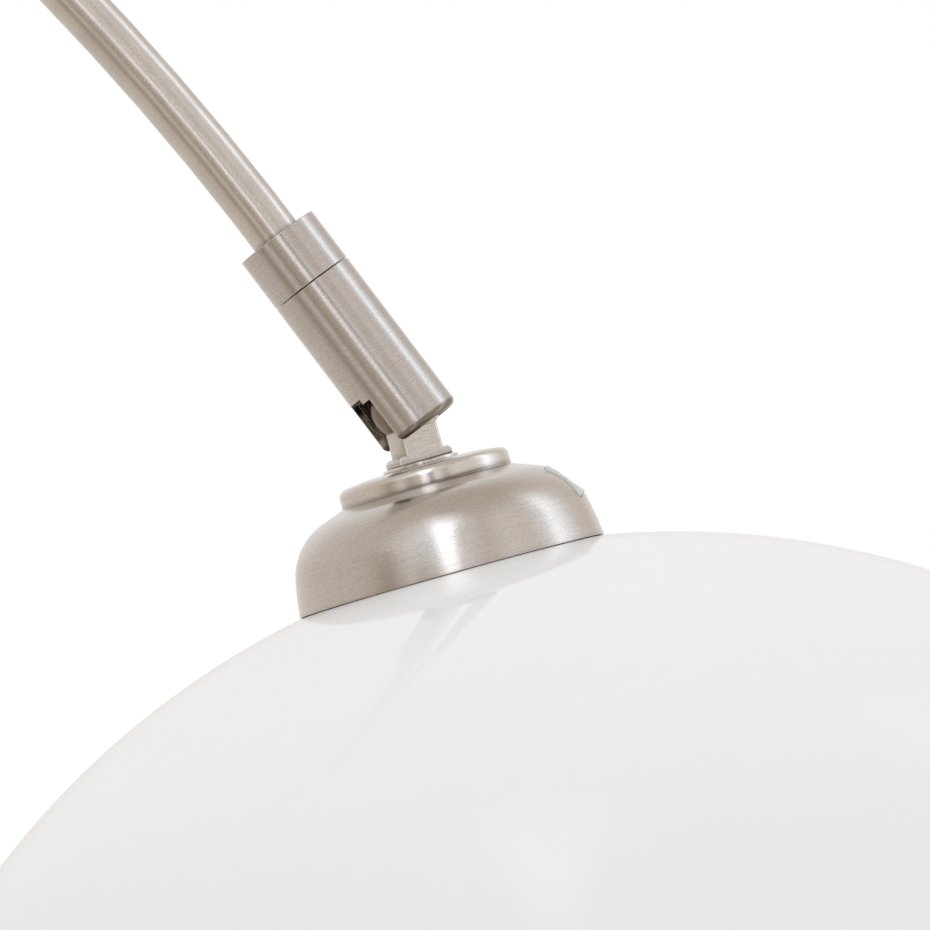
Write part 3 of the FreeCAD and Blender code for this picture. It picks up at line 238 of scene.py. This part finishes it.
# Metals -----------------------------------------------------------------------------------------------
def turned_metal(name, centre, axis, colour, rough=0.15, stretch=0.5, grain=1.0, edge=0.3 * MM, wear_highlight_colour=None,
                 wear_highlight_gain=12, marks=(), milled=False, crease_shade=CREASE_SHADE, dull=None):
    """Metal brushed round an axis: short ticks and longer lines that run round the part.

    Each mark is a colour and a function that gives its share from the tree, the place, and the distances
    along the axis and out from it. A milled part has straight lines across its flats. Crease shade is the
    share of painted shade in the creases. Dull is a function like a mark's, for the share of the surface
    that is not metallic.
    """
    made, tree, shader = material(name)
    place = tree.add("ShaderNodeTexCoord").outputs["Object"]
    offset = tree.vector("SUBTRACT", place, tuple(centre))
    along = tree.vector("DOT_PRODUCT", offset, tuple(axis)).outputs["Value"]
    radial = tree.vector("SUBTRACT", offset, tree.scaled(tuple(axis), along))
    out = tree.vector("LENGTH", radial).outputs["Value"]
    profile = along if milled else tree.maths("SUBTRACT", along, out)

    def streaks(length, width, detail):
        flat = tree.scaled(radial, width / length)
        return tree.noise(tree.vector("ADD", flat, tree.scaled(tuple(axis), profile)), width, detail)

    ticks = streaks(*TICKS, 2.0)
    lines = streaks(*LINES, 1.0)
    both = tree.maths("ADD", tree.maths("MULTIPLY", ticks, 0.7), tree.maths("MULTIPLY", lines, 0.3))
    sparkle = tree.noise(place, SPARKLE, 1.0)
    patches = tree.noise(place, PATCHES, 3.0)
    height = tree.maths("ADD", both, tree.maths("MULTIPLY", sparkle, 0.8))
    bevel = bumped(tree, shader, height, GRAIN_DEEP * grain, edge)
    wear_and_highlight = edge_wear_and_highlight(tree, bevel, wear_highlight_gain)
    tint = tree.spread(both, *NOISE_RANGE, 0.0, 1.0)
    base = tree.mixed(tint, shaded(colour, 1 - GRAIN_TINT * grain), shaded(colour, 1 + GRAIN_TINT * grain))
    for mark_colour, share in marks:
        base = tree.mixed(share(tree, place, along, out), base, mark_colour)
    # Edges lighter for wear and a painted highlight, creases darker with painted shade
    with_painted_light_and_wear = tree.mixed(wear_and_highlight, crease_shaded(tree, base, colour, crease_shade), wear_highlight_colour or shaded(colour, 1.35))
    tree.put(shader.inputs["Base Color"], with_painted_light_and_wear)
    blur = tree.maths("ADD", tree.spread(both, *NOISE_RANGE, rough + 0.04, rough - 0.04),
                      tree.spread(patches, *NOISE_RANGE, -0.03, 0.03))
    tree.put(shader.inputs["Roughness"], blur)
    shader.inputs["Metallic"].default_value = 1.0
    if dull:
        tree.put(shader.inputs["Metallic"], tree.maths("SUBTRACT", 1.0, dull(tree, place, along, out)))
    shader.inputs["Anisotropic"].default_value = stretch
    round_way = tree.vector("CROSS_PRODUCT", tuple(axis), radial)
    world_way = tree.add("ShaderNodeVectorTransform", Vector=round_way)
    world_way.vector_type = "VECTOR"
    world_way.convert_from = "OBJECT"
    world_way.convert_to = "WORLD"
    normal = tree.add("ShaderNodeNewGeometry").outputs["Normal"]
    down_profile = tree.vector("NORMALIZE", tree.vector("CROSS_PRODUCT", world_way, normal))
    tree.put(shader.inputs["Tangent"], down_profile)
    return made


def satin_metal(name, colour, rough=0.18, mottle=0.5 * MM, edge=0.2 * MM):
    """Satin metal with an even fine mottle, larger stains and a few dark specks."""
    made, tree, shader = material(name)
    place = tree.add("ShaderNodeTexCoord").outputs["Object"]
    fine = tree.noise(place, mottle, 2.0)
    stains = tree.noise(place, STAINS, 3.0)
    specks = tree.spread(tree.noise(place, SPECKS, 1.0), 0.74, 0.80, 0.0, 1.0)
    bevel = bumped(tree, shader, fine, MOTTLE_DEEP, edge)
    wear_and_highlight = edge_wear_and_highlight(tree, bevel, 12)
    base = tree.mixed(tree.spread(fine, *NOISE_RANGE, 0.0, 1.0),
                      shaded(colour, 1 - MOTTLE_TINT), shaded(colour, 1 + MOTTLE_TINT))
    stained = tree.mixed(tree.spread(stains, 0.45, 0.75, 0.0, 0.35), base, shaded(colour, 0.8))
    specked = tree.mixed(tree.maths("MULTIPLY", specks, 0.6), stained, shaded(colour, 0.35))
    # Edges lighter for wear and a painted highlight, creases darker with painted shade
    with_painted_light_and_wear = tree.mixed(wear_and_highlight, crease_shaded(tree, specked, colour), shaded(colour, 1.3))
    tree.put(shader.inputs["Base Color"], with_painted_light_and_wear)
    tree.put(shader.inputs["Roughness"], tree.maths(
        "ADD", tree.spread(fine, *NOISE_RANGE, rough - 0.06, rough + 0.06),
        tree.spread(stains, *NOISE_RANGE, -0.03, 0.05)))
    shader.inputs["Metallic"].default_value = 1.0
    return made


def threaded_metal(name, colour, depth, rough):
    """Rolled sheet metal with a screw thread along the shade's axis."""
    made, tree, shader = material(name)
    place = tree.add("ShaderNodeTexCoord").outputs["Object"]
    along = tree.vector("DOT_PRODUCT", place, tuple(HEAD_AXIS)).outputs["Value"]
    wave = tree.maths("SINE", tree.maths("MULTIPLY", along, 2 * math.pi / THREAD_PITCH))
    rub = tree.noise(place, 2 * MM, 3.0)
    height = tree.maths("ADD", wave, tree.maths("MULTIPLY", rub, 0.1))
    bump = tree.add("ShaderNodeBump", Strength=1.0, Distance=depth, Height=height)
    tree.put(shader.inputs["Normal"], bump)
    tree.put(shader.inputs["Base Color"], tree.mixed(rub, shaded(colour, 0.85), shaded(colour, 1.1)))
    tree.put(shader.inputs["Roughness"], tree.spread(rub, *NOISE_RANGE, rough - 0.08, rough + 0.08))
    shader.inputs["Metallic"].default_value = 1.0
    return made


# Other materials --------------------------------------------------------------------------------------
def rough_solid(name, colour, rough, size, distance, edge=0.2 * MM):
    """Moulded, cast or painted material with an even surface texture of a size."""
    made, tree, shader = material(name)
    place = tree.add("ShaderNodeTexCoord").outputs["Object"]
    fine = tree.noise(place, size, 3.0)
    broad = tree.noise(place, 40 * size, 2.0)
    bumped(tree, shader, fine, distance, edge)
    both = tree.maths("ADD", tree.maths("MULTIPLY", fine, 0.5), tree.maths("MULTIPLY", broad, 0.5))
    tree.put(shader.inputs["Base Color"], tree.mixed(both, shaded(colour, 0.92), shaded(colour, 1.06)))
    tree.put(shader.inputs["Roughness"], tree.spread(both, *NOISE_RANGE, rough - 0.05, rough + 0.05))
    return made


def opal_acrylic():
    """Glossy opal acrylic: even white body, a hard polished skin that is very slightly wavy."""
    made, tree, shader = material("opal_acrylic")
    place = tree.add("ShaderNodeTexCoord").outputs["Object"]
    wave = tree.noise(place, 45 * MM, 1.0)
    haze = tree.noise(place, 9 * MM, 4.0)
    bumped(tree, shader, wave, 1.5e-5, 0.6 * MM)
    tree.put(shader.inputs["Base Color"], tree.mixed(haze, (0.865, 0.867, 0.868), (0.875, 0.877, 0.878)))
    tree.put(shader.inputs["Roughness"], tree.spread(haze, *NOISE_RANGE, 0.02, 0.035))
    shader.inputs["Specular IOR Level"].default_value = 0.32
    shader.inputs["IOR"].default_value = 1.49
    return made


def opal_glass():
    """Thin opal glass of the bulb's globe."""
    made, tree, shader = material("opal_glass")
    place = tree.add("ShaderNodeTexCoord").outputs["Object"]
    cloud = tree.noise(place, 20 * MM, 3.0)
    tree.put(shader.inputs["Base Color"], tree.mixed(cloud, (0.9, 0.9, 0.88), (0.94, 0.94, 0.92)))
    tree.put(shader.inputs["Roughness"], tree.spread(cloud, *NOISE_RANGE, 0.08, 0.14))
    shader.inputs["Transmission Weight"].default_value = 0.25
    return made


# Marks on the turned parts ----------------------------------------------------------------------------
def sleeve_mouth_shade(tree, place, along, out):
    """Painted shade on the sleeve's rounded lower end."""
    return tree.spread(along, MOUTH_UP - 1.0 * MM, MOUTH_UP, 0.9, 0.0)


def sleeve_bore_shade(tree, place, along, out):
    """The sleeve's bore, painted a dull dark brown for the shade inside it."""
    return tree.spread(out, BORE_R + 0.1 * MM, BORE_R + 0.4 * MM, 0.85, 0.0)


def slot_side(tree, place):
    """The side of the ball that shows in the slot."""
    offset = tree.vector("SUBTRACT", place, tuple(BALL))
    across = tree.vector("DOT_PRODUCT", offset, tuple(LEVEL)).outputs["Value"]
    return tree.spread(across, 0.0, 2 * MM, 1.0, 0.0)


def ball_slot_shade(tree, place, along, out):
    """Painted shade on the ball and the stem within the ball's radius, on the side of the slot."""
    away = tree.vector("DISTANCE", place, tuple(BALL)).outputs["Value"]
    near = tree.spread(away, BALL_R + 0.1 * MM, BALL_R + 0.5 * MM, 1.0, 0.0)
    return tree.maths("MULTIPLY", near, slot_side(tree, place))


def ball_rim_highlight(tree, place, along, out):
    """A painted highlight along the edge of the ball's flat, on the side of the slot."""
    away = tree.vector("DISTANCE", place, tuple(BALL)).outputs["Value"]
    inner = tree.spread(away, BALL_R - 0.75 * MM, BALL_R - 0.55 * MM, 0.0, 1.0)
    outer = tree.spread(away, BALL_R - 0.2 * MM, BALL_R - 0.1 * MM, 1.0, 0.0)
    return tree.maths("MULTIPLY", tree.maths("MULTIPLY", inner, outer), slot_side(tree, place))


def flange_foot_shadow(tree, place, along, out):
    """The painted shadow line over the bright washer."""
    return tree.spread(along, FLANGE_UP + 0.5 * MM, FLANGE_UP + 0.75 * MM, 0.96, 0.0)


def boss_face_highlight(tree, place, along, out):
    """The cap's boss, painted a little brighter than its shoulder as a highlight."""
    return tree.maths("MULTIPLY", tree.spread(out, CREASE_R + 0.3 * MM, CREASE_R + 0.8 * MM, 0.42, 0.0),
                      tree.spread(along, CREASE_UP + 0.4 * MM, CREASE_UP + 1.2 * MM, 0.0, 1.0))


def boss_crease_shade(tree, place, along, out):
    """Painted shade in the crease under the cap's boss."""
    level = tree.maths("SUBTRACT", along, CREASE_UP)
    aside = tree.maths("SUBTRACT", out, CREASE_R)
    away = tree.vector("LENGTH", tree.add("ShaderNodeCombineXYZ", X=level, Y=aside)).outputs["Value"]
    return tree.maths("ADD", tree.spread(away, 0.45 * MM, 0.75 * MM, 0.5, 0.0),
                      tree.spread(away, 0.5 * MM, 2.4 * MM, 0.3, 0.0))


pole_nickel = turned_metal("pole_nickel", POLE, UP, NICKEL)
MATERIALS = {
    "nickel": satin_metal("nickel", NICKEL_BOW),
    "bright_nickel": turned_metal("bright_nickel", BALL, HEAD_AXIS, NICKEL_BRIGHT, rough=0.16, grain=0.3),
    "plated_steel": satin_metal("plated_steel", ZINC, rough=0.34, mottle=0.8 * MM),
    "cast_iron": rough_solid("cast_iron", (0.045, 0.045, 0.048), 0.55, 1.2 * MM, 1.2e-4),
    "rubber": rough_solid("rubber", (0.022, 0.022, 0.022), 0.75, 0.5 * MM, 2e-5),
    "black_nylon": rough_solid("black_nylon", (0.028, 0.028, 0.028), 0.5, 0.35 * MM, 6e-6),
    "opal": opal_acrylic(),
    "white_plastic": rough_solid("white_plastic", (0.80, 0.80, 0.79), 0.34, 0.3 * MM, 3e-6),
    "ceramic": rough_solid("ceramic", (0.83, 0.81, 0.76), 0.16, 4 * MM, 2e-5),
    "brass": threaded_metal("brass", BRASS, 4e-4, 0.3),
    "lamp_base": threaded_metal("lamp_base", ALUMINIUM, 5e-4, 0.32),
    "globe": opal_glass(),
}
OWN_LOOKS = {
    "base_cover": turned_metal("cover_nickel", BASE, UP, NICKEL),
    "pole_foot": pole_nickel,
    "lower_pole": pole_nickel,
    "pole_reducer": pole_nickel,
    "bow_band": turned_metal("band_nickel", BOW_JOINT, LEVEL, NICKEL),
    "tip_collar": turned_metal("collar_nickel", BALL, SLEEVE_AXIS, NICKEL),
    "swivel_sleeve": turned_metal("sleeve_nickel", BALL, SLEEVE_AXIS, NICKEL, crease_shade=0.35,
                                  dull=sleeve_bore_shade,
                                  marks=[(NICKEL_BORE_SHADE, sleeve_bore_shade), (NICKEL_SHADE, sleeve_mouth_shade)]),
    "ball_head": turned_metal("ball_nickel", BALL, HEAD_AXIS, NICKEL_STEM, rough=0.26, milled=True,
                              crease_shade=0.2, dull=ball_rim_highlight,
                              marks=[(NICKEL_BALL_SHADE, ball_slot_shade), (NICKEL_WEAR_HIGHLIGHT, ball_rim_highlight)]),
    "knuckle_stem": turned_metal("stem_nickel", BALL, HEAD_AXIS, NICKEL_STEM, rough=0.27, edge=0.7 * MM,
                                 wear_highlight_colour=NICKEL_WEAR_HIGHLIGHT, wear_highlight_gain=30, milled=True,
                                 marks=[(NICKEL_BALL_SHADE, ball_slot_shade), (NICKEL_SHADOW_LINE, flange_foot_shadow)]),
    "cap": turned_metal("cap_nickel", BALL, HEAD_AXIS, NICKEL_CAP, rough=0.18, stretch=0.7,
                        marks=[(NICKEL_BOSS_HIGHLIGHT, boss_face_highlight), (NICKEL_SHADE, boss_crease_shade)]),
}
for name, node in NODES.items():
    node.data.materials.clear()
    node.data.materials.append(OWN_LOOKS.get(name, MATERIALS[SLOTS[name]]))


# Studio -----------------------------------------------------------------------------------------------
FLOOR_HALF = 20


def camera():
    """The camera: in front of the lamp, a little below the joint, and tilted up to it."""
    away = Vector((0, -math.cos(CAMERA_BELOW), -math.sin(CAMERA_BELOW)))
    data = bpy.data.cameras.new("camera")
    data.sensor_width = SENSOR
    data.lens = SENSOR * CAMERA_FAR / VIEW_WIDTH
    data.clip_end = 200
    thing = bpy.data.objects.new("camera", data)
    thing.location = VIEW_MIDDLE + away * CAMERA_FAR
    thing.rotation_euler = (math.radians(90) + CAMERA_BELOW, 0, 0)
    bpy.context.collection.objects.link(thing)
    bpy.context.scene.camera = thing


def floor():
    """A wide plain pale floor, left out of the reflections so that the metal mirrors the studio's walls."""
    half = FLOOR_HALF
    mesh = bpy.data.meshes.new("floor")
    corners = [(-half, -half, 0), (half, -half, 0), (half, half, 0), (-half, half, 0)]
    mesh.from_pydata(corners, [], [(0, 1, 2, 3)])
    thing = bpy.data.objects.new("floor", mesh)
    thing.visible_glossy = False
    bpy.context.collection.objects.link(thing)
    thing.data.materials.append(rough_solid("floor_paint", (0.80, 0.80, 0.80), 0.6, 3 * MM, 1e-5))


# Brightness of the studio by bearing in degrees, from the camera's side (0) round to the right
LOW_WALLS = [
    (-180, 0.80), (-150, 0.74), (-120, 0.69), (-88, 0.66), (-70, 0.61), (-58, 0.50), (-48, 0.36),
    (-41, 0.48), (-31, 0.72), (-22, 0.38), (-16, 0.47), (-8, 0.55), (-2, 0.60), (2, 0.55), (7, 0.26),
    (10, 0.34), (15, 1.06), (28, 0.42), (40, 0.86), (48, 0.74), (70, 0.73), (82, 0.98), (95, 1.62),
    (107, 1.00), (118, 0.76), (138, 0.62), (155, 0.80), (180, 0.80),
]
HIGH_WALLS = [
    (-180, 0.90), (-150, 0.86), (-125, 0.72), (-90, 0.66), (-64, 0.60), (-45, 0.78), (-28, 0.95),
    (-18, 1.00), (8, 0.86), (20, 0.72), (29, 0.66), (45, 0.80), (70, 0.76), (84, 1.00), (94, 1.55),
    (103, 1.32), (114, 0.98), (126, 0.76), (145, 0.68), (180, 0.88),
]
# The height at which the low walls give way to the high ones
WALLS_CHANGE = (0.08, 0.28)
# Dim walls are warm and bright ones cool
WARM = (1.17, 1.0, 0.82)
COOL = (0.965, 1.0, 1.05)
WARM_BELOW = 0.45
COOL_ABOVE = 1.05
# Brightness of the ceiling, and the height at which the walls give way to it
CEILING = 0.55
CEILING_CHANGE = (0.72, 0.95)
# Soft box on the camera's side: it leans left as it rises, and grows wider and brighter
BOX_COLOUR = (0.91, 0.965, 1.09)
BOX_LEAN = -0.2
BOX_HALF = 0.085
BOX_WIDER = 0.11
BOX_LEVEL = 0.62
BOX_BRIGHTER = 1.8
BOX_TOP = (0.45, 0.90)
BOX_EDGE = (0.5, 1.3)
BOX_FRONT = (-0.05, 0.0)


def wall_colour(level):
    """The colour of a wall of a given brightness."""
    share = min(max((level - WARM_BELOW) / (COOL_ABOVE - WARM_BELOW), 0), 1)
    return tuple(level * (warm + (cool - warm) * share) for warm, cool in zip(WARM, COOL))


def world():
    """A studio of upright soft walls and a ceiling for the reflections, and an even white for the rest."""
    made = bpy.data.worlds.new("studio")
    bpy.context.scene.world = made
    tree = Tree(made)
    way = tree.add("ShaderNodeSeparateXYZ", Vector=tree.add("ShaderNodeTexCoord").outputs["Generated"])
    bearing = tree.maths("ARCTAN2", way.outputs["X"], tree.maths("MULTIPLY", way.outputs["Y"], -1.0))
    share = tree.spread(bearing, -math.pi, math.pi, 0.0, 1.0)
    low, high = (tree.ramp(share, [((turn + 180) / 360, wall_colour(level)) for turn, level in walls])
                 for walls in (LOW_WALLS, HIGH_WALLS))
    walls = tree.mixed(tree.spread(way.outputs["Z"], *WALLS_CHANGE, 0.0, 1.0), low, high)
    room = tree.mixed(tree.spread(way.outputs["Z"], *CEILING_CHANGE, 0.0, 1.0), walls, wall_colour(CEILING))
    rise = tree.maths("MAXIMUM", way.outputs["Z"], 0.0)
    across = tree.maths("SUBTRACT", way.outputs["X"], tree.maths("MULTIPLY", way.outputs["Z"], BOX_LEAN))
    half = tree.maths("ADD", tree.maths("MULTIPLY", rise, BOX_WIDER), BOX_HALF)
    inside = tree.spread(tree.maths("DIVIDE", tree.maths("ABSOLUTE", across), half), *BOX_EDGE, 1.0, 0.0)
    front = tree.spread(way.outputs["Y"], *BOX_FRONT, 1.0, 0.0)
    top = tree.spread(way.outputs["Z"], *BOX_TOP, 1.0, 0.0)
    shape = tree.maths("MULTIPLY", tree.maths("MULTIPLY", inside, front), top)
    power = tree.maths("ADD", tree.maths("MULTIPLY", rise, BOX_BRIGHTER), BOX_LEVEL)
    glow = tree.scaled(BOX_COLOUR, tree.maths("MULTIPLY", shape, power))
    mirrored = tree.add("ShaderNodeBackground", Color=tree.vector("ADD", room, glow), Strength=1.0)
    even = tree.add("ShaderNodeBackground", Color=(1, 1, 1, 1), Strength=1.0)
    sharp = tree.add("ShaderNodeLightPath").outputs["Is Glossy Ray"]
    split = tree.add("ShaderNodeMixShader", i0=sharp, i1=even, i2=mirrored)
    tree.add("ShaderNodeOutputWorld", Surface=split)


camera()
floor()
world()
bpy.context.scene.view_settings.view_transform = "Standard"
